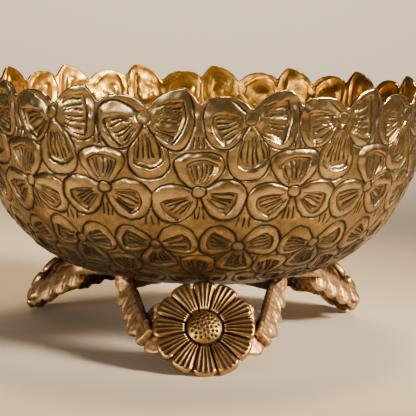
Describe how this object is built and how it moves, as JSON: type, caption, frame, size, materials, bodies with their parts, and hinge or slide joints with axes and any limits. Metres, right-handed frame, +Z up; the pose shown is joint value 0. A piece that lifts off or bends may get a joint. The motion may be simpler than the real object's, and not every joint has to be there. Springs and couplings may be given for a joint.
{
  "type": "footed brass urli bowl",
  "caption": "Round beaten brass bowl with a scalloped petal rim, chased all over with flowers, standing on cast sunflower feet.",
  "frame": {"origin": "on the table, under the middle of the bowl", "axes": "+Z up along the bowl's axis, -Y towards the front foot, +X to the right seen from the front"},
  "size_m": [0.3006, 0.3006, 0.1693],
  "materials": {
    "bowl_brass": "hand chased sheet brass, antique brown patina in the grooves, rubbed bright on the raised petals",
    "cast_brass": "sand cast brass, matt, antique patina",
    "sunflower_brass": "cast brass, dark patina in the petal grooves, rubbed ridges",
    "seed_head_brass": "cast brass dome with punched dots",
    "rivet_brass": "hammered rivet head, antique patina"
  },
  "bodies": {
    "root": {"bowl": "bowl_brass", "leaf_bracket_front": "cast_brass", "sunflower_front": "sunflower_brass", "seed_head_front": "seed_head_brass", "right_rivet_front": "rivet_brass", "left_rivet_front": "rivet_brass", "leaf_bracket_rear_right": "cast_brass", "sunflower_rear_right": "sunflower_brass", "seed_head_rear_right": "seed_head_brass", "right_rivet_rear_right": "rivet_brass", "left_rivet_rear_right": "rivet_brass", "leaf_bracket_rear_left": "cast_brass", "sunflower_rear_left": "sunflower_brass", "seed_head_rear_left": "seed_head_brass", "right_rivet_rear_left": "rivet_brass", "left_rivet_rear_left": "rivet_brass"}
  },
  "joints": []
}
